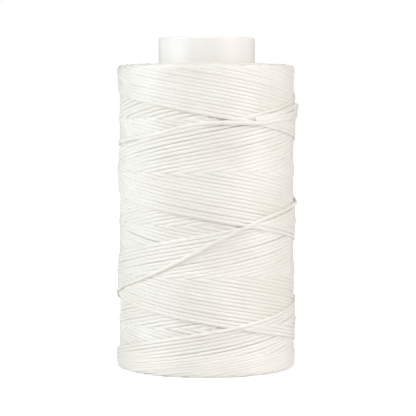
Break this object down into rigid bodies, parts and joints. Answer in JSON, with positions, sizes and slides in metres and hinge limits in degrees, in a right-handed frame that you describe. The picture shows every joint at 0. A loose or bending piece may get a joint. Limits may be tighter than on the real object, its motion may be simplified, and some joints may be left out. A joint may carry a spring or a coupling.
{
  "type": "waxed thread spool",
  "caption": "Flat waxed thread cross-wound in layers on a plain plastic tube, with the thread's end tucked under the last wrap.",
  "frame": {"origin": "middle of the tube's lower end, on the tube's axis", "axes": "+Z along the tube's axis towards the bare end of the tube; -Y is the front, where the last wrap climbs steeply from left to right"},
  "size_m": [0.0523, 0.0521, 0.0944],
  "materials": {
    "core_plastic": "smooth moulded plastic, semi-gloss",
    "waxed_thread": "flat waxed polyester thread with a faint wax sheen"
  },
  "bodies": {
    "root": {"core_tube": "core_plastic", "start_wraps": "waxed_thread", "thread_layer_01": "waxed_thread", "thread_layer_02": "waxed_thread", "thread_layer_03": "waxed_thread", "thread_layer_04": "waxed_thread", "thread_layer_05": "waxed_thread", "thread_layer_06": "waxed_thread", "thread_layer_07": "waxed_thread", "thread_layer_08": "waxed_thread", "thread_layer_09": "waxed_thread", "thread_layer_10": "waxed_thread", "thread_layer_11": "waxed_thread", "thread_layer_12": "waxed_thread", "last_wrap": "waxed_thread", "tucked_end": "waxed_thread"}
  },
  "joints": []
}
